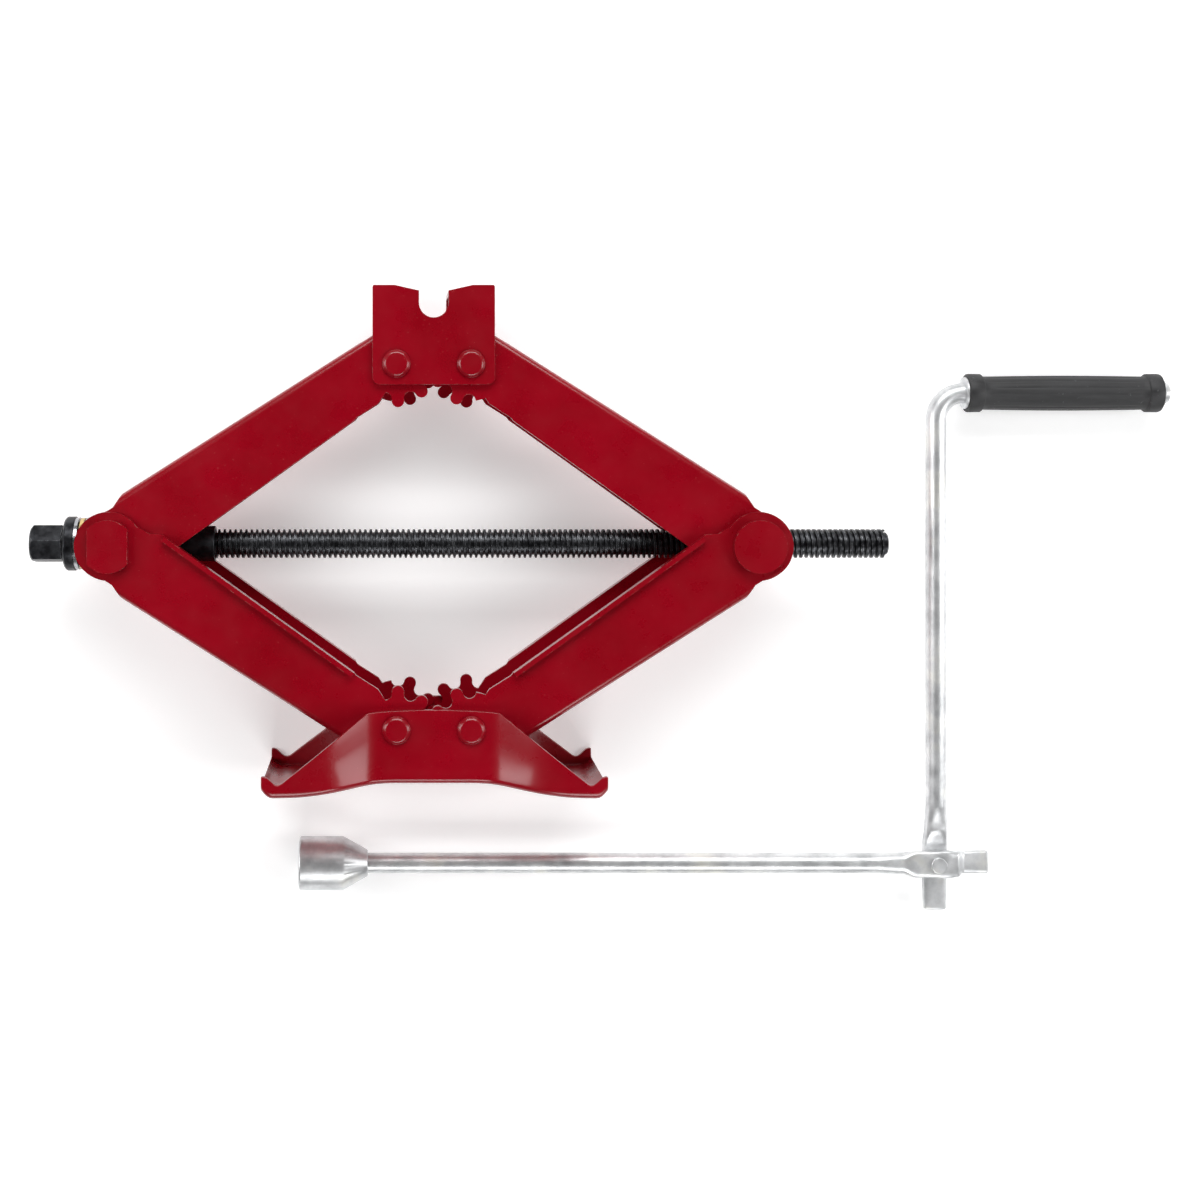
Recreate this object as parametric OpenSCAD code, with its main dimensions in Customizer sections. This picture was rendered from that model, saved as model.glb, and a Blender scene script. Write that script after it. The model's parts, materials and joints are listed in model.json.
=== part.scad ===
// Scissor jack with its folding crank, laid flat as one kit.
// X runs along the lead screw, +Y is the lifting direction, +Z points up out of the surface.

/* [Linkage] */
// Length of every arm between its two pivots
arm_len = 185; // [150:1:230]
// Distance between the two pins of the base, and of the saddle
pin_gap = 40.5; // [38:0.5:46]
// Angle of the arms above the base as drawn
open_angle = 32.4; // [24:0.1:45]
// Thickness of the arm sheet
arm_sheet = 2.6; // [2:0.1:3]
// Running gap between parts that slide face to face
side_gap = 0.3; // [0.2:0.05:0.5]
// Half of the clear width between the flanges of the upper arms
inner_half = 17.2; // [16:0.1:20]
// Distance from the pivot line to the outer face of the web
web_offset = 20.4; // [19:0.1:22]
// Radius of the ear round each trunnion
ear_r = 18.7; // [17:0.1:20]
// Number of teeth on a full turn of the arm gear
gear_teeth = 9; // [9]

/* [Pins] */
// Diameter of the rivets that hold the arms
rivet_d = 10; // [8:0.5:12]
// Diameter of a rivet head
rivet_head_d = 15.2; // [13:0.1:18]
// Height of a rivet head
rivet_head_h = 2.6; // [1.5:0.1:4]
// Diameter of the trunnion journals
journal_d = 19; // [16:0.5:22]
// Radial clearance of a journal or rivet in an arm
fit_gap = 0.08; // [0.02:0.01:0.1]

/* [Screw] */
// Outer diameter of the thread
screw_d = 16; // [14:0.5:18]
// Distance from the bearing trunnion to the free end of the screw
screw_reach = 428; // [400:1:480]
// Width of the hex drive across its flats
hex_flats = 19; // [17:1:21]
// Length of the hex drive
hex_len = 17.6; // [14:0.1:24]
// Outer diameter of the spacer sleeve
sleeve_d = 19.6; // [18:0.1:22]
// Distance from the bearing trunnion to the end of the spacer sleeve
sleeve_reach = 56; // [40:1:70]

/* [Base] */
// Length of the base
base_len = 183; // [170:1:210]
// Half of the width of the base at its ends
base_end_half = 42; // [36:1:46]
// Height of the base pins above the feet
base_pin_h = 34; // [32:0.5:40]
// Thickness of the base sheet
base_sheet = 2.8; // [2.4:0.1:3.2]

/* [Saddle] */
// Width of the saddle
saddle_w = 66.4; // [62:0.1:76]
// Height of the top of the saddle above its pins
saddle_h = 42.7; // [38:0.1:48]
// Width of the notch in the saddle
notch_w = 16; // [12:0.5:20]
// Depth of the notch in the saddle
notch_depth = 17.6; // [14:0.1:20]

/* [Crank] */
// Distance from the socket mouth to the fold rivet
crank_rod_len = 363; // [300:1:420]
// Distance from the fold rivet to the axis of the grip
crank_arm_len = 268; // [220:1:300]
// Diameter of the crank rod
crank_rod_d = 11.4; // [10:0.2:13]
// Outer diameter of the crank socket
socket_d = 30; // [27:0.5:32]
// Length of the grip
grip_len = 110; // [90:1:120]
// Diameter of the grip collars
grip_d = 22; // [20:0.5:26]

/* [Hidden] */
eps = 0.01;
round_fn = 96;
red = [0.72, 0.02, 0.08];
black = [0.10, 0.10, 0.11];
zinc = [0.62, 0.64, 0.66];

pitch_r = pin_gap / 2;
half_pitch = 180 / gear_teeth;
lobe_r = pitch_r * sin(half_pitch / 2) - 0.11;
gap_r = pitch_r * sin(half_pitch / 2) + 0.1;
reach_x = arm_len * cos(open_angle);
rise_y = arm_len * sin(open_angle);
base_pin = [pitch_r, base_pin_h];
trunnion = [pitch_r + reach_x, base_pin_h + rise_y];
saddle_pin = [pitch_r, base_pin_h + 2 * rise_y];
saddle_top = saddle_pin[1] + saddle_h;

upper_in = inner_half;
upper_out = upper_in + arm_sheet;
lower_in = upper_out + side_gap;
lower_out = lower_in + arm_sheet;
base_in = lower_out + side_gap;
base_out = base_in + base_sheet;
saddle_in = lower_in;
saddle_out = saddle_in + base_sheet;
trunnion_half = upper_in - side_gap;
head_in = lower_out + side_gap;
head_t = 4.6;
head_d = 28.7;
journal_hole_d = journal_d + 2 * fit_gap;
rivet_hole_d = rivet_d + 2 * fit_gap;

screw_hole_d = screw_d + 0.6;
collar_d = 30;
hex_tip = -(trunnion[0] + 46);
collar_in = ear_r + 1.2;
screw_end = -trunnion[0] + screw_reach;

crank_r = crank_rod_d / 2;
elbow_r = 15.5;
grip_start = 17;
crank_end = grip_start + grip_len + 5;
crank_gap = 36;
mouth_x = -75.5;
socket_len = 25;
neck_len = 14;
tail_len = 27;

kit_min_x = hex_tip;
kit_max_x = mouth_x + crank_rod_len + crank_end;
kit_min_y = -crank_gap - socket_d / 2 - tail_len;
kit_mid_x = (kit_min_x + kit_max_x) / 2;
kit_mid_y = (kit_min_y + saddle_top) / 2;
jack_at = [-kit_mid_x, -kit_mid_y, base_end_half];
crank_at = [mouth_x - kit_mid_x, -crank_gap - socket_d / 2 - kit_mid_y, socket_d / 2];

// One sheet layer lying flat between two heights.
module layer(z0, z1) {
    translate([0, 0, z0]) linear_extrude(z1 - z0) children();
}

// The same sheet layer on the front and on the back.
module both(z0, z1) {
    layer(z0, z1) children();
    layer(-z1, -z0) children();
}

// Gear end of an arm, centred on its pin, with the arm along +X and the teeth on the -Y side.
module gear_end(phase) {
    difference() {
        circle(r = pitch_r, $fn = round_fn);
        for (k = [0 : 4])
            rotate(phase + half_pitch - k * 2 * half_pitch)
                translate([pitch_r, 0]) circle(r = gap_r, $fn = 48);
    }
    for (k = [0 : 4])
        rotate(phase - k * 2 * half_pitch)
            translate([pitch_r, 0]) circle(r = lobe_r, $fn = 48);
}

inner_near = 13;
inner_far = 21;
near_t = 20;
far_t = arm_len - 21;

// Outline of one arm flange; phase sets where its teeth stand.
module flange_shape(phase) {
    difference() {
        union() {
            gear_end(phase);
            translate([arm_len, 0]) circle(r = ear_r, $fn = round_fn);
            polygon([
                [0, web_offset], [far_t, web_offset], [far_t + 8, ear_r - 2],
                [arm_len, ear_r - 2], [arm_len, -ear_r + 2], [far_t + 6, -ear_r + 1],
                [far_t, -inner_far], [36, -inner_near - 0.8], [34, -inner_near],
                [near_t, -inner_near], [0, -4]
            ]);
        }
        circle(d = rivet_hole_d, $fn = round_fn);
        translate([arm_len, 0]) circle(d = journal_hole_d, $fn = round_fn);
    }
}

lip_h = 3.4;

// Narrow strip along the inner edge of a flange.
module lip_strip() {
    polygon([
        [36, -inner_near - 0.8], [far_t - 2, -inner_far + 0.1],
        [far_t - 2, -inner_far + 0.1 + arm_sheet], [36, -inner_near - 0.8 + arm_sheet]
    ]);
}

bend_r = 4;

// Section across the arm that rounds the two long outer bends.
module bend_section(z_out) {
    translate([-60, -z_out]) square([60 + web_offset - bend_r, 2 * z_out]);
    translate([-60, -z_out + bend_r]) square([60 + web_offset, 2 * (z_out - bend_r)]);
    for (side = [-1, 1])
        translate([web_offset - bend_r, side * (z_out - bend_r)]) circle(r = bend_r, $fn = 64);
}

// Both flanges and the web, with square bends.
module channel(z_in, z_out, phase_front, phase_back) {
    layer(z_in, z_out) flange_shape(phase_front);
    layer(-z_out, -z_in) flange_shape(phase_back);
    translate([10, web_offset - arm_sheet, -z_out]) cube([far_t - 10, arm_sheet, 2 * z_out]);
}

// Arm lying along +X from its geared pin, web on the +Y side; lips turn to the lip_dir side.
module arm(z_in, z_out, phase_front, phase_back, lip_dir) {
    intersection() {
        channel(z_in, z_out, phase_front, phase_back);
        rotate([90, 0, 90]) translate([0, 0, -60]) linear_extrude(arm_len + 120) bend_section(z_out);
    }
    if (lip_dir > 0) both(z_in + 0.6, z_out + lip_h) lip_strip();
    if (lip_dir < 0) both(z_in - lip_h, z_out - 0.6) lip_strip();
}

// Puts an arm, drawn along +X from its geared pin, on the base pin of one side.
module place_lower(side) {
    translate(jack_at)
        mirror([side < 0 ? 1 : 0, 0, 0])
            translate([base_pin[0], base_pin[1], 0])
                rotate([0, 0, open_angle]) mirror([0, 1, 0]) children();
}

// The same on the saddle pin.
module place_upper(side) {
    translate(jack_at)
        mirror([side < 0 ? 1 : 0, 0, 0])
            translate([saddle_pin[0], saddle_pin[1], 0])
                rotate([0, 0, -open_angle]) children();
}

phase_a = open_angle - 180 + 7.5 + 4 * half_pitch;
phase_b = phase_a - half_pitch;

module lower_arm_left() {
    color(red) place_lower(-1) arm(lower_in, lower_out, phase_a, phase_b, 1);
}

module lower_arm_right() {
    color(red) place_lower(1) arm(lower_in, lower_out, phase_b, phase_a, 1);
}

module upper_arm_left() {
    color(red) place_upper(-1) arm(upper_in, upper_out, phase_a, phase_b, -1);
}

module upper_arm_right() {
    color(red) place_upper(1) arm(upper_in, upper_out, phase_b, phase_a, -1);
}

panel_x = 36;
flare = atan((base_end_half - base_out) / (base_len / 2 - panel_x));
wing_len = (base_len / 2 - panel_x) / cos(flare);
base_top = base_pin_h + 11;
web_y = 4.5;
crown = 760;
wing_lap = 0.5;

// Side of the base from the middle to one end, lying along +X.
module base_panel() {
    difference() {
        polygon(concat(
            [[panel_x, web_y], [-panel_x, web_y]],
            [for (x = [-panel_x : panel_x / 6 : panel_x]) [x, base_top - x * x / crown]]
        ));
        for (side = [-1, 1])
            translate([side * base_pin[0], base_pin[1]]) circle(d = rivet_hole_d, $fn = round_fn);
    }
}

// Flared side of one end, from the end of the middle panel outward.
module base_wing() {
    polygon([
        [-wing_lap, base_top - 1.9], [0, base_top - 1.9], [wing_len - 11, 9], [wing_len - 7, 7], [wing_len - 3, 8.5],
        [wing_len - 0.8, 12], [wing_len, 11.6], [wing_len, 4], [wing_len - 3, 0],
        [wing_len - 13, 0], [0, web_y], [-wing_lap, web_y]
    ]);
}

// Bottom plate of the base, seen from above.
module base_floor() {
    polygon([
        [-base_len / 2, -base_end_half + 1], [-panel_x, -base_out], [panel_x, -base_out],
        [base_len / 2, -base_end_half + 1], [base_len / 2, base_end_half - 1],
        [panel_x, base_out], [-panel_x, base_out], [-base_len / 2, base_end_half - 1]
    ]);
}

module base_plate() {
    color(red) translate(jack_at) {
        both(base_in, base_out) base_panel();
        translate([0, web_y + base_sheet, 0]) rotate([90, 0, 0]) linear_extrude(base_sheet) base_floor();
        for (side = [0, 1], back = [0, 1])
            mirror([side, 0, 0]) mirror([0, 0, back])
                translate([panel_x, 0, base_out]) rotate([0, -flare, 0])
                    translate([0, 0, -base_sheet]) linear_extrude(base_sheet) base_wing();
        for (side = [0, 1])
            mirror([side, 0, 0])
                translate([base_len / 2 - base_sheet - 10.2, 0, -base_end_half + 2.2])
                    cube([base_sheet + 7, web_y + base_sheet / 2, 2 * base_end_half - 4.4]);
        for (side = [0, 1])
            mirror([side, 0, 0])
                translate([base_len / 2 - base_sheet, 4, -base_end_half + 2])
                    cube([base_sheet - 0.1, 5, 2 * base_end_half - 4]);
    }
}

// Rivet through both sides, with a low head at each end standing on the sheet.
module rivet(sheet_out) {
    rotate_extrude($fn = round_fn) polygon([
        [0, -sheet_out - rivet_head_h], [rivet_head_d / 2 - 1.6, -sheet_out - rivet_head_h],
        [rivet_head_d / 2, -sheet_out - rivet_head_h + 1.4], [rivet_head_d / 2, -sheet_out],
        [rivet_d / 2, -sheet_out], [rivet_d / 2, sheet_out], [rivet_head_d / 2, sheet_out],
        [rivet_head_d / 2, sheet_out + rivet_head_h - 1.4],
        [rivet_head_d / 2 - 1.6, sheet_out + rivet_head_h], [0, sheet_out + rivet_head_h]
    ]);
}

module base_rivets() {
    color(red) translate(jack_at)
        for (side = [-1, 1])
            translate([side * base_pin[0], base_pin[1], 0]) rivet(base_out);
}

module saddle_rivets() {
    color(red) translate(jack_at)
        for (side = [-1, 1])
            translate([side * saddle_pin[0], saddle_pin[1], 0]) rivet(saddle_out);
}

saddle_drop = 11.3;
saddle_corner = 4;
saddle_flat = 12;
saddle_dip = 3;

// Side of the saddle, with its notch and rivet holes.
module saddle_side() {
    half = saddle_w / 2;
    difference() {
        translate([0, saddle_pin[1]]) polygon(concat(
            [[half, saddle_h - 1], [half - 0.5, saddle_h], [half - saddle_flat, saddle_h]],
            [[notch_w / 2, saddle_h - saddle_dip], [-notch_w / 2, saddle_h - saddle_dip]],
            [[-half + saddle_flat, saddle_h], [-half + 0.5, saddle_h], [-half, saddle_h - 1]],
            [for (a = [180 : 15 : 270]) [-half + saddle_corner * (1 + cos(a)), -saddle_drop + saddle_corner * (1 + sin(a))]],
            [for (a = [270 : 15 : 360]) [half + saddle_corner * (cos(a) - 1), -saddle_drop + saddle_corner * (1 + sin(a))]]
        ));
        translate([0, saddle_top - notch_depth + notch_w / 2]) circle(d = notch_w, $fn = round_fn);
        translate([-notch_w / 2, saddle_top - notch_depth + notch_w / 2]) square([notch_w, notch_depth]);
        for (side = [-1, 1])
            translate([side * saddle_pin[0], saddle_pin[1]]) circle(d = rivet_hole_d, $fn = round_fn);
    }
}

module saddle_plate() {
    half = saddle_w / 2;
    color(red) translate(jack_at) {
        both(saddle_in, saddle_out) saddle_side();
        for (side = [0, 1])
            mirror([side, 0, 0])
                layer(-saddle_out + eps, saddle_out - eps)
                    translate([0, saddle_pin[1]]) polygon([
                        [half - 0.5, saddle_h], [half - saddle_flat, saddle_h],
                        [notch_w / 2, saddle_h - saddle_dip], [notch_w / 2, saddle_h - saddle_dip - base_sheet],
                        [half - saddle_flat, saddle_h - base_sheet], [half - 0.5, saddle_h - base_sheet]
                    ]);
    }
}

barrel_r = 15;

// Barrel between the arms with a journal and a riveted-over head at each end.
module trunnion_block() {
    cylinder(r = barrel_r, h = 2 * trunnion_half, center = true, $fn = round_fn);
    cylinder(d = journal_d, h = 2 * head_in + 1, center = true, $fn = round_fn);
    both(head_in, head_in + head_t) children();
}

module bearing_trunnion() {
    color(red) translate(jack_at) translate([-trunnion[0], trunnion[1], 0])
        difference() {
            trunnion_block()
                intersection() {
                    circle(d = head_d, $fn = round_fn);
                    square([21.9, head_d + 1], center = true);
                }
            rotate([0, 90, 0]) cylinder(d = screw_hole_d, h = 50, center = true, $fn = round_fn);
            translate([-barrel_r - 2, -20, -trunnion_half - 1]) cube([4, 40, 2 * trunnion_half + 2]);
        }
}

module nut_trunnion() {
    color(red) translate(jack_at) translate([trunnion[0], trunnion[1], 0])
        difference() {
            trunnion_block() circle(d = head_d, $fn = round_fn);
            rotate([0, 90, 0]) cylinder(d = screw_hole_d, h = 50, center = true, $fn = round_fn);
        }
}

seat = barrel_r - 2 + side_gap;
washer_t = 1.8;
ball_d = 4;
race_r = 11.6;
collar_far = 27;

// Things on the screw line, drawn along -X outward from the bearing trunnion.
module on_screw() {
    translate(jack_at) translate([-trunnion[0], trunnion[1], 0]) rotate([0, -90, 0]) children();
}

// Ring between two places on the line it is drawn on.
module ring(from, to, d_out, d_in) {
    translate([0, 0, from]) difference() {
        cylinder(d = d_out, h = to - from, $fn = round_fn);
        translate([0, 0, -1]) cylinder(d = d_in, h = to - from + 2, $fn = round_fn);
    }
}

module thrust_washers() {
    color(black) on_screw() {
        ring(seat, seat + washer_t, 29, screw_d + 0.4);
        ring(seat + washer_t + ball_d, seat + 2 * washer_t + ball_d, 29, screw_d + 0.4);
    }
}

module thrust_balls() {
    color(zinc) on_screw()
        for (k = [0 : 9])
            rotate([0, 0, k * 36]) translate([race_r, 0, seat + washer_t + ball_d / 2])
                sphere(d = ball_d - 0.04, $fn = 32);
}

module ball_cage() {
    cage_mid = seat + washer_t + ball_d / 2;
    color("goldenrod") on_screw() difference() {
        ring(cage_mid - 1, cage_mid + 1, 28.4, screw_d + 1);
        for (k = [0 : 9])
            rotate([0, 0, k * 36]) translate([race_r, 0, cage_mid - 2])
                cylinder(d = ball_d + 0.4, h = 4, $fn = 32);
    }
}

collar_near = seat + 2 * washer_t + ball_d + 0.1;

module thrust_collar() {
    color(black) on_screw() rotate_extrude($fn = round_fn) polygon([
        [screw_d / 2 + 0.02, collar_near], [collar_d / 2, collar_near], [collar_d / 2, collar_far - 1.2],
        [collar_d / 2 - 1.2, collar_far], [screw_d / 2 + 0.02, collar_far]
    ]);
}

module hex_head() {
    hex_far = -hex_tip - trunnion[0];
    color(black) on_screw() intersection() {
        translate([0, 0, hex_far - hex_len]) rotate([0, 0, 12])
            cylinder(d = hex_flats / cos(30), h = hex_len, $fn = 6);
        rotate_extrude($fn = round_fn) polygon([
            [0, hex_far - hex_len - 1], [hex_flats, hex_far - hex_len - 1], [hex_flats, hex_far - 9],
            [hex_flats / 2 - 0.6, hex_far], [0, hex_far]
        ]);
    }
}

module lead_screw() {
    hex_far = -hex_tip - trunnion[0];
    color(black) on_screw() rotate_extrude($fn = round_fn) polygon([
        [0, hex_far - hex_len], [screw_d / 2, hex_far - hex_len], [screw_d / 2, -screw_reach + 1.5],
        [screw_d / 2 - 1.5, -screw_reach], [0, -screw_reach]
    ]);
}

module spacer_sleeve() {
    color(black) on_screw() ring(-sleeve_reach, -barrel_r - side_gap, sleeve_d, screw_d);
}

// Things on the crank, drawn from the middle of the socket's mouth.
module on_crank() {
    translate(crank_at) children();
}

module crank_socket() {
    color(zinc) on_crank() rotate([0, 90, 0]) difference() {
        rotate_extrude($fn = round_fn) polygon([
            [0, 0], [socket_d / 2 - 0.8, 0], [socket_d / 2, 0.8], [socket_d / 2, socket_len],
            [crank_r + 1.6, socket_len + neck_len], [0, socket_len + neck_len]
        ]);
        translate([0, 0, -1]) cylinder(d = (hex_flats + 0.5) / cos(30), h = 21, $fn = 6);
        translate([0, 0, 19]) cylinder(d = crank_rod_d, h = 30, $fn = round_fn);
    }
}

rod_from = socket_len;
flat_w = 15.5;

module crank_rod() {
    color(zinc) on_crank() {
        translate([rod_from, 0, 0]) rotate([0, 90, 0])
            cylinder(d = crank_rod_d, h = crank_rod_len - 14 - rod_from, $fn = round_fn);
        difference() {
            translate([crank_rod_len - 18, -flat_w / 2, 0.2]) cube([30, flat_w, crank_r]);
            translate([crank_rod_len, 0, -1]) cylinder(d = 7 + 2 * fit_gap, h = 20, $fn = round_fn);
        }
        translate([crank_rod_len + 11, -6.2, -crank_r]) cube([tail_len - 8, 12.4, crank_r + 3]);
    }
}

module crank_arm() {
    color(zinc) on_crank() translate([crank_rod_len, 0, 0]) {
        difference() {
            translate([-6.8, -tail_len, -crank_r]) cube([13.6, tail_len + 14, crank_r]);
            translate([0, 0, -10]) cylinder(d = 7 + 2 * fit_gap, h = 20, $fn = round_fn);
        }
        translate([0, 12, 0]) rotate([-90, 0, 0])
            cylinder(d = crank_rod_d, h = crank_arm_len - elbow_r - 12, $fn = round_fn);
        translate([elbow_r, crank_arm_len - elbow_r, 0]) rotate([0, 0, 90])
            rotate_extrude(angle = 90, $fn = round_fn) translate([elbow_r, 0]) circle(d = crank_rod_d, $fn = 48);
        translate([elbow_r, crank_arm_len, 0]) rotate([0, 90, 0])
            cylinder(d = crank_rod_d, h = crank_end - elbow_r, $fn = round_fn);
    }
}

module crank_rivet() {
    color(zinc) on_crank() translate([crank_rod_len, 0, 0]) {
        cylinder(d = 7, h = 2 * (crank_r + 0.3), center = true, $fn = round_fn);
        translate([0, 0, crank_r + 0.3]) cylinder(d = 9, h = 1.4, $fn = round_fn);
        translate([0, 0, -crank_r - 1.7]) cylinder(d = 9, h = 1.4, $fn = round_fn);
    }
}

// Things on the grip line, drawn along +X from the axis of the crank arm.
module on_grip() {
    on_crank() translate([crank_rod_len, crank_arm_len, 0]) rotate([0, 90, 0]) children();
}

module crank_grip() {
    color([0.05, 0.05, 0.05]) on_grip() translate([0, 0, grip_start]) rotate_extrude($fn = round_fn) polygon([
        [crank_r + 0.1, 0], [grip_d / 2, 0], [grip_d / 2, 8], [grip_d / 2 - 1.6, 9],
        [grip_d / 2 - 1, grip_len / 2], [grip_d / 2 - 1.6, grip_len - 9], [grip_d / 2, grip_len - 8],
        [grip_d / 2, grip_len], [crank_r + 0.1, grip_len]
    ]);
}

module grip_washer() {
    color(zinc) on_grip() ring(grip_start - 1.4, grip_start - 0.3, 18, crank_rod_d);
}

module grip_retainer() {
    color(zinc) on_grip() ring(grip_start + grip_len + 0.3, grip_start + grip_len + 1.3, 17, crank_rod_d);
}

base_plate();
base_rivets();
lower_arm_left();
lower_arm_right();
upper_arm_left();
upper_arm_right();
saddle_plate();
saddle_rivets();
bearing_trunnion();
nut_trunnion();
lead_screw();
hex_head();
thrust_collar();
thrust_washers();
thrust_balls();
ball_cage();
spacer_sleeve();
crank_socket();
crank_rod();
crank_arm();
crank_rivet();
crank_grip();
grip_washer();
grip_retainer();
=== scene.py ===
"""Scissor jack and its folding crank, laid flat as one kit on a pale floor."""
import json
import math

import bmesh
import bpy
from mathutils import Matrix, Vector


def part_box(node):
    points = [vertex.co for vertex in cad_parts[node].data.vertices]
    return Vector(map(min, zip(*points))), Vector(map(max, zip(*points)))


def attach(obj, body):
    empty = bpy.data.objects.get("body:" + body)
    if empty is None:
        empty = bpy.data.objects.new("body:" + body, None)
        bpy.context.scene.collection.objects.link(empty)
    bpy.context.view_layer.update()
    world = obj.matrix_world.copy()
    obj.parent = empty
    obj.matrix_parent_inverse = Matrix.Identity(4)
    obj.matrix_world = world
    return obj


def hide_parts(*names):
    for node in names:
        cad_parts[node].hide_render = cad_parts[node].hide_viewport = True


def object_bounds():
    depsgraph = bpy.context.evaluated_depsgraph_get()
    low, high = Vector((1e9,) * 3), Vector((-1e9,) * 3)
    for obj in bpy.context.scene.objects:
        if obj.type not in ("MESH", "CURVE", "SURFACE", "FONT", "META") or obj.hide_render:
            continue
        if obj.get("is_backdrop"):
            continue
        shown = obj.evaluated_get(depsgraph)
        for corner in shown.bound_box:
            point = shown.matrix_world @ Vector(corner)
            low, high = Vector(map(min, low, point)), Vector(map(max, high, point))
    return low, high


MM = 0.001
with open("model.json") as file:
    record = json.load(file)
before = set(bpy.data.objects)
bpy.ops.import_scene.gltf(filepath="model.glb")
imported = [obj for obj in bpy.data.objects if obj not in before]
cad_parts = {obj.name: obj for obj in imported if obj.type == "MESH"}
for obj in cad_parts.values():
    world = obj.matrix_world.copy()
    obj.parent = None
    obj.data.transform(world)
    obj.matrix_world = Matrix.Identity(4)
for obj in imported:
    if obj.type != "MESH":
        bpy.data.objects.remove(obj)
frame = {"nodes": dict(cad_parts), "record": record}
NODES = frame["nodes"]


def note_size(stage, sizes={}):
    low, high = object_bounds()
    sizes[stage] = [list(low), list(high)]


note_size("loaded")

# ---------------------------------------------------------------- driving dimensions

SCREW_LOW, SCREW_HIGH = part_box("lead_screw")
SCREW_Y = (SCREW_LOW.y + SCREW_HIGH.y) / 2
CENTRE_Z = (SCREW_LOW.z + SCREW_HIGH.z) / 2
SCREW_R = (SCREW_HIGH.z - SCREW_LOW.z) / 2
THREAD_PITCH = 3 * MM
THREAD_DEPTH = 1.75 * MM
BASE_LOW, BASE_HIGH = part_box("base_plate")
JACK_X = (BASE_LOW.x + BASE_HIGH.x) / 2

# How far each kind of edge is broken.
SHEET_EDGE = 0.45 * MM
TURNED_EDGE = 0.7 * MM
STEEL_EDGE = 0.4 * MM
CRANK_EDGE = 0.5 * MM
# How far wear reaches in from an edge.
WEAR_REACH = 0.5 * MM


# ---------------------------------------------------------------- material helpers

def node_at(tree, kind, **values):
    """Adds a shader node and sets its inputs by name."""
    made = tree.nodes.new(kind)
    for name, value in values.items():
        made.inputs[name.replace("_", " ")].default_value = value
    return made


def noise(tree, scale, detail=4.0, rough=0.6, stretch=None):
    """Returns the factor of a noise laid out in object space, in metres."""
    place = tree.nodes.new("ShaderNodeTexCoord")
    source = place.outputs["Object"]
    if stretch:
        mapping = tree.nodes.new("ShaderNodeMapping")
        mapping.inputs["Scale"].default_value = stretch
        tree.links.new(source, mapping.inputs["Vector"])
        source = mapping.outputs["Vector"]
    made = node_at(tree, "ShaderNodeTexNoise", Scale=scale, Detail=detail, Roughness=rough)
    tree.links.new(source, made.inputs["Vector"])
    return made.outputs["Fac"]


def ramp(tree, source, stops):
    """Maps a factor through a colour ramp given as (position, colour) pairs."""
    made = tree.nodes.new("ShaderNodeValToRGB")
    elements = made.color_ramp.elements
    while len(elements) < len(stops):
        elements.new(0.5)
    for element, (position, colour) in zip(elements, stops):
        element.position = position
        element.color = (*colour, 1)
    tree.links.new(source, made.inputs["Fac"])
    return made.outputs["Color"]


def scale_range(tree, source, low, high, to_low, to_high):
    """Maps a factor from one range to another."""
    made = tree.nodes.new("ShaderNodeMapRange")
    limits = {"From Min": low, "From Max": high, "To Min": to_low, "To Max": to_high}
    for name, value in limits.items():
        made.inputs[name].default_value = value
    tree.links.new(source, made.inputs["Value"])
    return made.outputs["Result"]


def times(tree, a, b):
    """The product of two factors, held between 0 and 1."""
    made = tree.nodes.new("ShaderNodeMath")
    made.operation = "MULTIPLY"
    made.use_clamp = True
    for socket, value in zip(made.inputs, (a, b)):
        if isinstance(value, (int, float)):
            socket.default_value = value
        else:
            tree.links.new(value, socket)
    return made.outputs["Value"]


def mix(tree, factor, a, b):
    """Goes from colour a to colour b as the factor rises."""
    made = tree.nodes.new("ShaderNodeMix")
    made.data_type = "RGBA"
    tree.links.new(factor, made.inputs[0])
    for socket, value in ((made.inputs[6], a), (made.inputs[7], b)):
        if isinstance(value, tuple):
            socket.default_value = (*value, 1)
        else:
            tree.links.new(value, socket)
    return made.outputs[2]


def edge_mask(tree, radius):
    """One near a convex or concave edge and zero on the flats between."""
    bevel = tree.nodes.new("ShaderNodeBevel")
    bevel.samples = 6
    bevel.inputs["Radius"].default_value = radius
    geometry = tree.nodes.new("ShaderNodeNewGeometry")
    dot = tree.nodes.new("ShaderNodeVectorMath")
    dot.operation = "DOT_PRODUCT"
    tree.links.new(bevel.outputs["Normal"], dot.inputs[0])
    tree.links.new(geometry.outputs["Normal"], dot.inputs[1])
    return scale_range(tree, dot.outputs["Value"], 0.985, 0.80, 0, 1)


def start(name):
    """A new material, with its node tree and its shader."""
    made = bpy.data.materials.new(name)
    made.use_nodes = True
    tree = made.node_tree
    shader = tree.nodes["Principled BSDF"]
    return made, tree, shader


def bump(tree, shader, source, strength, distance):
    """Raises the surface with the source."""
    made = node_at(tree, "ShaderNodeBump", Strength=strength, Distance=distance)
    tree.links.new(source, made.inputs["Height"])
    tree.links.new(made.outputs["Normal"], shader.inputs["Normal"])


def colour(tree, shader, source):
    tree.links.new(source, shader.inputs["Base Color"])


def roughen(tree, shader, source, low, high):
    """Spreads the middle of a noise over the roughness from low to high."""
    tree.links.new(scale_range(tree, source, 0.3, 0.7, low, high), shader.inputs["Roughness"])


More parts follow.
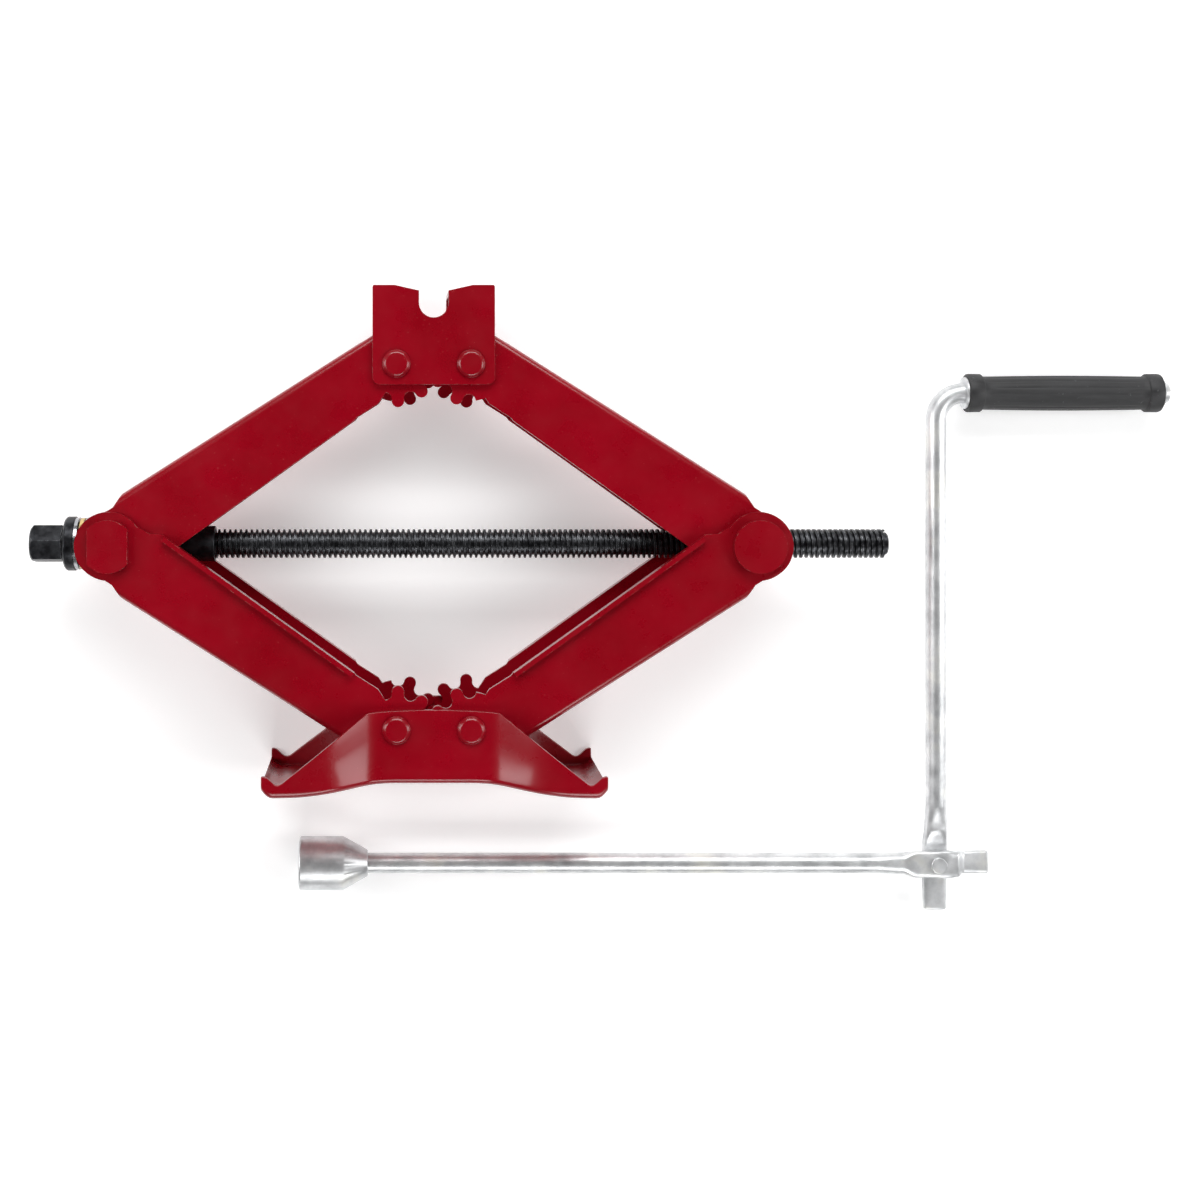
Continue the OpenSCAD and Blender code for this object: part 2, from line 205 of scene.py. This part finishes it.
def red_paint():
    """Gloss enamel with slight orange peel, faint dust and thin edges worn through."""
    made, tree, shader = start("red_paint")
    broad = noise(tree, 22, 3)
    paint = ramp(tree, broad, [(0.3, (0.235, 0.0, 0.0055)), (0.7, (0.285, 0.0, 0.008))])
    dust = times(tree, scale_range(tree, noise(tree, 900, 2), 0.70, 0.78, 0, 1), 0.5)
    paint = mix(tree, dust, paint, (0.52, 0.09, 0.09))
    worn = scale_range(tree, noise(tree, 260, 5), 0.52, 0.68, 0, 1)
    worn = times(tree, worn, edge_mask(tree, WEAR_REACH))
    colour(tree, shader, mix(tree, times(tree, worn, 0.7), paint, (0.55, 0.36, 0.33)))
    roughen(tree, shader, noise(tree, 60, 4), 0.24, 0.36)
    shader.inputs["Specular IOR Level"].default_value = 0.35
    shader.inputs["Coat Weight"].default_value = 0.6
    shader.inputs["Coat Roughness"].default_value = 0.15
    bump(tree, shader, noise(tree, 420, 2), 0.05, 0.2 * MM)
    return made


def black_steel():
    """Black oxide, mottled grey where it has been handled, bright on its edges."""
    made, tree, shader = start("black_steel")
    mottle = noise(tree, 150, 6)
    tone = ramp(tree, mottle, [(0.35, (0.012, 0.012, 0.014)), (0.75, (0.075, 0.078, 0.085))])
    worn = scale_range(tree, noise(tree, 300, 4), 0.42, 0.62, 0, 1)
    worn = times(tree, worn, edge_mask(tree, WEAR_REACH))
    colour(tree, shader, mix(tree, worn, tone, (0.42, 0.43, 0.45)))
    roughen(tree, shader, noise(tree, 200, 5), 0.28, 0.5)
    shader.inputs["Metallic"].default_value = 0.85
    bump(tree, shader, noise(tree, 700, 3), 0.12, 0.15 * MM)
    return made


def zinc_plate():
    """Bright zinc with cloudy tone, a fine bump and pale yellow in places."""
    made, tree, shader = start("zinc_plate")
    cloudy = noise(tree, 70, 5)
    tone = ramp(tree, cloudy, [(0.30, (0.50, 0.51, 0.52)), (0.62, (0.80, 0.81, 0.82))])
    tinge = times(tree, scale_range(tree, noise(tree, 35, 3), 0.55, 0.75, 0, 1), 0.35)
    colour(tree, shader, mix(tree, tinge, tone, (0.74, 0.70, 0.52)))
    roughen(tree, shader, noise(tree, 160, 5), 0.30, 0.48)
    shader.inputs["Metallic"].default_value = 0.7
    bump(tree, shader, noise(tree, 380, 5), 0.10, 0.2 * MM)
    return made


def bare_metal(name, dark, pale, grain, smoothest, dullest):
    """Unpainted metal whose tone and roughness both vary a little."""
    made, tree, shader = start(name)
    colour(tree, shader, ramp(tree, noise(tree, 260, 4), [(0.3, dark), (0.7, pale)]))
    roughen(tree, shader, noise(tree, grain, 3), smoothest, dullest)
    shader.inputs["Metallic"].default_value = 1.0
    return made


def black_rubber():
    """Moulded rubber with a fine grain, drawn along the grip, and paler scuffs."""
    made, tree, shader = start("black_rubber")
    streak = noise(tree, 260, 5, 0.65, (0.12, 1, 1))
    tone = ramp(tree, streak, [(0.35, (0.014, 0.014, 0.015)), (0.75, (0.036, 0.036, 0.038))])
    scuff = times(tree, scale_range(tree, noise(tree, 420, 3), 0.66, 0.74, 0, 1), 0.6)
    colour(tree, shader, mix(tree, scuff, tone, (0.09, 0.09, 0.095)))
    roughen(tree, shader, streak, 0.48, 0.66)
    bump(tree, shader, noise(tree, 1400, 3), 0.25, 0.12 * MM)
    return made


def pale_floor():
    """Near white and matt, barely clouded."""
    made, tree, shader = start("pale_floor")
    clouds = [(0.3, (0.86, 0.86, 0.86)), (0.7, (0.89, 0.89, 0.89))]
    colour(tree, shader, ramp(tree, noise(tree, 6, 2), clouds))
    shader.inputs["Roughness"].default_value = 0.8
    # It gives off a little light of its own, which keeps the shadows on it pale.
    shader.inputs["Emission Color"].default_value = (1, 1, 1, 1)
    shader.inputs["Emission Strength"].default_value = 0.34
    return made


MATERIALS = {
    "red_paint": red_paint(),
    "black_steel": black_steel(),
    "bearing_steel": bare_metal(
        "bearing_steel", (0.32, 0.33, 0.35), (0.55, 0.56, 0.58), 500, 0.18, 0.32),
    "cage_brass": bare_metal(
        "cage_brass", (0.58, 0.42, 0.16), (0.78, 0.60, 0.28), 400, 0.25, 0.4),
    "zinc_plate": zinc_plate(),
    "black_rubber": black_rubber(),
}
RECORD = frame["record"]
SLOT_OF = {entry["node"]: entry["material_slot"] for entry in RECORD["subparts"]}
BODY_OF = {name: body for body, names in RECORD["behaviour"]["bodies"].items() for name in names}

for node_name, cad in NODES.items():
    for place in cad.material_slots:
        place.material = MATERIALS[SLOT_OF[node_name]]


# ---------------------------------------------------------------- piece helpers

def add_piece(name, mesh, *nodes):
    """Links a mesh as a piece that stands for the nodes and rides on their body."""
    piece = bpy.data.objects.new(name, mesh)
    bpy.context.scene.collection.objects.link(piece)
    slot = SLOT_OF[nodes[0]]
    mesh.materials.clear()
    mesh.materials.append(MATERIALS[slot])
    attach(piece, BODY_OF[nodes[0]])
    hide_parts(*nodes)
    return piece


def apply_modifiers(piece):
    """Bakes the piece's modifiers into its mesh."""
    graph = bpy.context.evaluated_depsgraph_get()
    baked = bpy.data.meshes.new_from_object(piece.evaluated_get(graph))
    piece.modifiers.clear()
    piece.data = baked


def shade(mesh, angle):
    """Smooth shading, broken only where faces meet at more than the angle."""
    made = bmesh.new()
    made.from_mesh(mesh)
    for face in made.faces:
        face.smooth = True
    for edge in made.edges:
        edge.smooth = len(edge.link_faces) == 2 and edge.calc_face_angle(0) < math.radians(angle)
    made.to_mesh(mesh)
    made.free()


def settle_normals(piece, angle):
    """Shades by face area, so that broken edges don't tint the flats beside them."""
    shade(piece.data, angle)
    weighted = piece.modifiers.new("normals", "WEIGHTED_NORMAL")
    weighted.mode = "FACE_AREA"
    weighted.weight = 100
    weighted.keep_sharp = True
    apply_modifiers(piece)


def break_edges(piece, width, angle):
    """Rounds each edge sharper than the angle, then settles the shading."""
    bevel = piece.modifiers.new("edges", "BEVEL")
    bevel.width = width
    bevel.segments = 2
    bevel.limit_method = "ANGLE"
    bevel.angle_limit = math.radians(angle)
    apply_modifiers(piece)
    settle_normals(piece, 50)


def eased(node, width):
    """A copy of a node with its sharp edges broken, as stamping and paint leave them."""
    mesh = NODES[node].data.copy()
    made = bmesh.new()
    made.from_mesh(mesh)
    bmesh.ops.remove_doubles(made, verts=made.verts, dist=0.002 * MM)
    bmesh.ops.dissolve_limit(
        made, angle_limit=math.radians(1), verts=made.verts, edges=made.edges, delimit={"NORMAL"}
    )
    made.to_mesh(mesh)
    made.free()
    break_edges(add_piece(node + "_shell", mesh, node), width, 35)


def bridge(made, rows):
    """Faces between each closed ring of vertices and the next."""
    count = len(rows[0])
    for near, far in zip(rows, rows[1:]):
        for k in range(count):
            made.faces.new((near[k], near[(k + 1) % count], far[(k + 1) % count], far[k]))


def to_piece(made, name, node, smooth):
    """Turns finished mesh work into a piece, shaded smooth up to the angle."""
    bmesh.ops.recalc_face_normals(made, faces=made.faces)
    mesh = bpy.data.meshes.new(name)
    made.to_mesh(mesh)
    made.free()
    piece = add_piece(name, mesh, node)
    shade(piece.data, smooth)
    return piece


def skin(name, rings, node, smooth, caps=True):
    """A tube through rings of points, one after the other, with its ends closed by caps."""
    made = bmesh.new()
    rows = [[made.verts.new(point) for point in ring] for ring in rings]
    bridge(made, rows)
    if caps:
        made.faces.new(list(reversed(rows[0])))
        made.faces.new(rows[-1])
    return to_piece(made, name, node, smooth)


def about_x(x, y, z, radius, angle):
    """A point at the radius and angle round a line along X through y and z."""
    return Vector((x, y + radius * math.cos(angle), z + radius * math.sin(angle)))


def ease(t):
    """Rises smoothly from 0 to 1 as t does."""
    t = min(1.0, max(0.0, t))
    return t * t * (3 - 2 * t)


# ---------------------------------------------------------------- jack

for sheet_node in ("lower_arm_left", "lower_arm_right", "upper_arm_left",
                   "upper_arm_right", "saddle_plate"):
    eased(sheet_node, SHEET_EDGE)
for turned_node in ("base_rivets", "saddle_rivets", "bearing_trunnion", "nut_trunnion"):
    eased(turned_node, TURNED_EDGE)
for steel_node in ("hex_head", "thrust_collar", "spacer_sleeve"):
    eased(steel_node, STEEL_EDGE)


def base_tray():
    """The pressed base: a deep U in the middle, opening to a turned-up tray at each end."""
    half_len = (BASE_HIGH.x - BASE_LOW.x) / 2
    end_half = (BASE_HIGH.z - BASE_LOW.z) / 2
    middle_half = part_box("lower_arm_left")[1].z - CENTRE_Z - 0.3 * MM
    top, foot = BASE_HIGH.y, BASE_LOW.y
    sheet, corner = 2.8 * MM, 3.4 * MM
    steps = 120
    # The sides spread apart from here on, most of it in the first half of the way.
    flare_from, flare_bias, never_zero = 28 * MM, 0.16, 1e-9
    # The bottom arches up under the middle and turns up at the toes.
    arch_high, arch_from, arch_run = 5.2 * MM, 20 * MM, half_len - 34 * MM
    toe_high, toe_run = 4.5 * MM, 6 * MM
    # The upper edge is crowned out to the shoulder, then falls to the wing.
    crown, shoulder, shoulder_drop = 760 * MM, 36 * MM, 1.7 * MM
    wing_high, wing_run = 7.5 * MM, half_len - 10 * MM - shoulder
    lip_high, lip_from, lip_run = 4.6 * MM, half_len - 8.5 * MM, 7 * MM
    least_side = 1.2 * MM
    # A band along the foot of the sides stands out a little near the middle.
    band_out, band_from, band_run = 1.9 * MM, 40 * MM, 35 * MM
    band_share, band_curve, band_reach = 0.45, 1.5, 26 * MM
    rings = []
    for k in range(steps + 1):
        x = half_len * (2 * k / steps - 1)
        out = abs(x)
        spread = max(0.0, (out - flare_from) / (half_len - flare_from))
        flare = spread * spread / (spread * spread + flare_bias * (1 - spread) + never_zero)
        wide = min(middle_half + (end_half - middle_half) * flare, end_half)
        arch = arch_high * (1 - ease((out - arch_from) / arch_run))
        turned_up = toe_high * max(0.0, (out - half_len + toe_run) / toe_run) ** 2
        bottom = foot + arch + turned_up
        if out <= shoulder:
            edge = top - out * out / crown
        else:
            run = min(1.0, (out - shoulder) / wing_run)
            edge = top - shoulder_drop + (foot + wing_high - top + shoulder_drop) * run
        edge += lip_high * ease((out - lip_from) / lip_run)
        edge = max(edge, bottom + sheet + least_side)
        band = band_out * (1 - ease((out - band_from) / band_run))
        side_foot = bottom + corner
        side = edge - side_foot
        outer, inner = [], []
        for share in (1.0, 0.8, 0.6, band_share):
            y = side_foot + side * share
            outer.append((wide, y))
            inner.append((wide - sheet, y))
        for share in (0.25, 0.1, 0.0):
            y = side_foot + min(side, band_reach) * share
            swollen = min(wide + band * (1 - share / band_share) ** band_curve, end_half)
            outer.append((swollen, y))
            inner.append((swollen - sheet, y))
        turn_centre = min(wide + band, end_half) - corner
        for turn in (22, 45, 68, 90):
            c, s = math.cos(math.radians(turn)), math.sin(math.radians(turn))
            outer.append((turn_centre + corner * c, side_foot - corner * s))
            inner.append((turn_centre + (corner - sheet) * c, side_foot - (corner - sheet) * s))
        loop = outer + [(-z, y) for z, y in reversed(outer)]
        loop += [(-z, y) for z, y in inner] + list(reversed(inner))
        rings.append([Vector((JACK_X + x, y, CENTRE_Z + z)) for z, y in loop])
    break_edges(skin("base_tray", rings, "base_plate", 40), SHEET_EDGE, 50)


def thread():
    """The screw: a helical trapezoidal thread with its free end chamfered."""
    around = 36
    sleeve_lap = 6 * MM
    start_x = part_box("spacer_sleeve")[1].x - sleeve_lap
    end_x = SCREW_HIGH.x
    root = SCREW_R - THREAD_DEPTH
    # The chamfer rises at 45 degrees from this height over the root, this far from the end.
    tip_rise, tip_inset = 0.4 * MM, 0.3 * MM
    # Share of the pitch and radius at each corner of the thread's section.
    section = [(0.0, root), (0.36, root), (0.50, SCREW_R), (0.86, SCREW_R)]
    last = int((end_x - start_x) / THREAD_PITCH) * around
    made = bmesh.new()
    strip = []
    for step in range(last + 1):
        row = []
        for share, radius in section:
            x = start_x + THREAD_PITCH * (step / around + share)
            limit = root + tip_rise + max(0.0, end_x - x - tip_inset)
            point = about_x(min(x, end_x), SCREW_Y, CENTRE_Z, min(radius, limit),
                            2 * math.pi * step / around)
            row.append(made.verts.new(point))
        strip.append(row)
    for step in range(last):
        here, there = strip[step], strip[step + 1]
        for k in range(3):
            made.faces.new((here[k], here[k + 1], there[k + 1], there[k]))
        if step + around < last:
            next_turn = strip[step + around][0], strip[step + around + 1][0]
            made.faces.new((here[3], *next_turn, there[3]))
    # The core, with the plain shank up to the hex, drawn in almost to a point at each end.
    hex_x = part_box("hex_head")[1].x
    thread_x = start_x + THREAD_PITCH
    shank, core, point_r = SCREW_R - 0.1 * MM, root - 0.02 * MM, 0.01 * MM
    core_back, tip_drop = 0.64 * MM, 0.6 * MM
    profile = [(hex_x, point_r), (hex_x, shank), (thread_x, shank), (thread_x, core),
               (end_x - core_back, core), (end_x, root - tip_drop), (end_x, point_r)]
    rings = [[made.verts.new(about_x(x, SCREW_Y, CENTRE_Z, r, 2 * math.pi * k / around))
              for k in range(around)] for x, r in profile]
    bridge(made, rings)
    to_piece(made, "screw_thread", "lead_screw", 30)


base_tray()
thread()

# ---------------------------------------------------------------- crank

SOCKET_LOW, SOCKET_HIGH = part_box("crank_socket")
GRIP_LOW, GRIP_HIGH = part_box("crank_grip")
ARM_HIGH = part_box("crank_arm")[1]
RIVET_LOW, RIVET_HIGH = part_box("crank_rivet")
CRANK_Z = (SOCKET_LOW.z + SOCKET_HIGH.z) / 2
CRANK_Y = (SOCKET_LOW.y + SOCKET_HIGH.y) / 2
RIVET_X = (RIVET_LOW.x + RIVET_HIGH.x) / 2
GRIP_Y = (GRIP_LOW.y + GRIP_HIGH.y) / 2
ROD_R = 5.7 * MM


def oval(centre, wide, half_wide, half_thick, square):
    """A ring round the centre, from an ellipse (square 2) to a rounded bar (square 5)."""
    count = 40
    up = Vector((0, 0, 1))
    ring = []
    for k in range(count):
        angle = 2 * math.pi * k / count
        c, s = math.cos(angle), math.sin(angle)
        a = math.copysign(abs(c) ** (2 / square), c) * half_wide
        b = math.copysign(abs(s) ** (2 / square), s) * half_thick
        ring.append(centre + wide * a + up * b)
    return ring


def between(stations, s):
    """Values at s, blended smoothly between listed stations."""
    for near, far in zip(stations, stations[1:]):
        if s <= far[0]:
            t = ease((s - near[0]) / (far[0] - near[0]))
            return [a + (b - a) * t for a, b in zip(near[1:], far[1:])]
    return list(stations[-1][1:])


def bar_rings(stations, first, steps, place, wide):
    """Rings along a flattened bar, from the first step to the last of the stations."""
    begin, end = stations[0][0], stations[-1][0]
    rings = []
    for k in range(first, steps + 1):
        s = begin + (end - begin) * k / steps
        half, thick, lift, square = between(stations, s)
        rings.append(oval(place(s * MM, lift * MM), wide, half * MM, thick * MM, square))
    return rings


def crank_rod_piece():
    """Round rod whose far end is pressed flat over the rivet and stepped back behind it."""
    # Distance from the rivet, half width, half thickness, height of the middle, squareness; in mm.
    stations = [(-36, 5.7, 5.7, 0, 2), (-20, 5.9, 5.0, 0.6, 2.4), (-12, 7.4, 2.75, 3.0, 4),
                (6, 7.7, 2.75, 3.0, 5), (11, 7.0, 2.8, 2.7, 5), (16, 6.3, 2.8, -2.6, 4),
                (29.6, 6.5, 2.7, -2.8, 4.5), (30, 6.1, 2.2, -2.8, 4)]
    wide = Vector((0, 1, 0))
    socket_lap = 3 * MM

    def place(s, lift):
        return Vector((RIVET_X + s, CRANK_Y, CRANK_Z + lift))

    rings = []
    for x in (SOCKET_HIGH.x - socket_lap, RIVET_X + stations[0][0] * MM):
        rings.append(oval(Vector((x, CRANK_Y, CRANK_Z)), wide, ROD_R, ROD_R, 2))
    rings += bar_rings(stations, 1, 126, place, wide)
    skin("crank_rod_bar", rings, "crank_rod", 50)


def crank_arm_piece():
    """Round bar flattened under the rivet, bent once and run through the grip."""
    # Distance from the rivet, half width, half thickness, height of the middle, squareness; in mm.
    stations = [(-27, 5.8, 2.0, -2.9, 3), (-26.2, 6.4, 2.7, -2.9, 4), (-8, 6.7, 2.75, -2.9, 4.5),
                (8, 6.8, 2.75, -2.9, 4.5), (20, 6.2, 4.6, -0.8, 2.6), (34, 5.7, 5.7, 0, 2)]
    elbow_r = 15.5 * MM
    elbow_steps = 24
    # Distance from the end and step in from the bar's radius, where the end is rounded.
    end_round = ((1.2 * MM, 0), (0.4 * MM, 0.2 * MM), (0, 0.9 * MM))

    def place(s, lift):
        return Vector((RIVET_X, CRANK_Y + s, CRANK_Z + lift))

    rings = bar_rings(stations, 0, 116, place, Vector((-1, 0, 0)))
    centre = Vector((RIVET_X + elbow_r, GRIP_Y - elbow_r, CRANK_Z))
    for k in range(elbow_steps + 1):
        turn = math.radians(90 * k / elbow_steps)
        outward = Vector((-math.cos(turn), math.sin(turn), 0))
        rings.append(oval(centre + outward * elbow_r, outward, ROD_R, ROD_R, 2))
    for back, step_in in end_round:
        r = ROD_R - step_in
        rings.append(oval(Vector((ARM_HIGH.x - back, GRIP_Y, CRANK_Z)), Vector((0, 1, 0)), r, r, 2))
    skin("crank_arm_bar", rings, "crank_arm", 50)


def grip_piece():
    """Moulded grip: a plain collar at each end and a shallow fluted barrel between."""
    around = 180
    steps = 28
    flutes, flute_deep, flute_curve, flute_fade = 15, 0.38 * MM, 0.6, 9
    length = GRIP_HIGH.x - GRIP_LOW.x
    outer = (GRIP_HIGH.z - GRIP_LOW.z) / 2
    bore = ROD_R + 0.1 * MM
    collar, collar_gap = 8.4 * MM, 0.4 * MM
    barrel_len = length - 2 * collar - 2 * collar_gap
    barrel, barrel_swell = outer - 1.5 * MM, 0.55 * MM
    # Distance from the end, radius and share of the flutes, over the first collar.
    profile = [(0, bore, 0), (0, outer - 1.0 * MM, 0), (0.35 * MM, outer - 0.25 * MM, 0),
               (1.2 * MM, outer, 0), (collar - 0.9 * MM, outer - 0.05 * MM, 0),
               (collar - 0.2 * MM, outer - 0.5 * MM, 0), (collar, outer - 1.2 * MM, 0)]
    far_collar = [(length - x, r, fade) for x, r, fade in reversed(profile)]
    for k in range(steps + 1):
        share = k / steps
        swell = math.sin(math.pi * share) * barrel_swell
        fade = min(1, share * flute_fade, (1 - share) * flute_fade)
        profile.append((collar + collar_gap + barrel_len * share, barrel + swell, fade))
    profile += far_collar
    rings = []
    for x, radius, fade in profile:
        ring = []
        for k in range(around):
            angle = 2 * math.pi * k / around
            ridge = abs(math.sin(flutes * angle / 2)) ** flute_curve
            r = radius - fade * flute_deep * (1 - ridge)
            ring.append(about_x(GRIP_LOW.x + x, GRIP_Y, CRANK_Z, r, angle))
        rings.append(ring)
    skin("grip_moulding", rings, "crank_grip", 40, caps=False)


crank_rod_piece()
crank_arm_piece()
grip_piece()
eased("crank_socket", CRANK_EDGE)
eased("crank_rivet", CRANK_EDGE)

# ---------------------------------------------------------------- stage, light and camera


def floor():
    half, below = 6.0, 0.2 * MM
    corners = [(-half, -half, 0), (half, -half, 0), (half, half, 0), (-half, half, 0)]
    mesh = bpy.data.meshes.new("floor")
    mesh.from_pydata(corners, [], [(0, 1, 2, 3)])
    mesh.materials.append(pale_floor())
    obj = bpy.data.objects.new("floor", mesh)
    obj.location.z = -below
    bpy.context.scene.collection.objects.link(obj)
    obj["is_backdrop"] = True


def panel(name, place, size, power):
    light = bpy.data.lights.new(name, "AREA")
    light.shape = "RECTANGLE"
    light.size, light.size_y = size
    light.energy = power
    obj = bpy.data.objects.new(name, light)
    obj.location = place
    obj.rotation_euler = (Vector((0, 0, 0)) - Vector(place)).to_track_quat("-Z", "Y").to_euler()
    bpy.context.scene.collection.objects.link(obj)


def lights():
    """Soft light from all round, with a panel on each side."""
    world = bpy.data.worlds.new("studio")
    world.use_nodes = True
    tree = world.node_tree
    place = tree.nodes.new("ShaderNodeTexCoord")
    split = tree.nodes.new("ShaderNodeSeparateXYZ")
    tree.links.new(place.outputs["Generated"], split.inputs[0])
    # The surround is bright at the sides and darkens overhead.
    strength = scale_range(tree, split.outputs["Z"], 0.45, 0.90, 1.35, 0.15)
    tree.links.new(strength, tree.nodes["Background"].inputs["Strength"])
    bpy.context.scene.world = world
    panel("light_above", (0.0, 1.3, 1.0), (1.6, 0.8), 22)
    panel("light_left", (-1.4, 0.2, 0.9), (0.7, 1.4), 13)
    panel("light_right", (1.4, 0.0, 0.9), (0.7, 1.4), 13)
    panel("light_front", (0.2, -1.3, 1.1), (1.2, 0.6), 12)


def camera():
    distance, across = 0.97, 0.666
    from_jack_x, from_base_y = -0.0211, 0.203
    sensor = 36
    data = bpy.data.cameras.new("camera")
    obj = bpy.data.objects.new("camera", data)
    obj.location = (JACK_X + from_jack_x, BASE_LOW.y + from_base_y, CENTRE_Z + distance)
    data.sensor_width = sensor
    data.lens = sensor * distance / across
    data.shift_x = 0.171
    data.shift_y = -0.152
    bpy.context.scene.collection.objects.link(obj)
    bpy.context.scene.camera = obj


floor()
lights()
camera()
bpy.context.scene.view_settings.view_transform = "Standard"
note_size("finished")
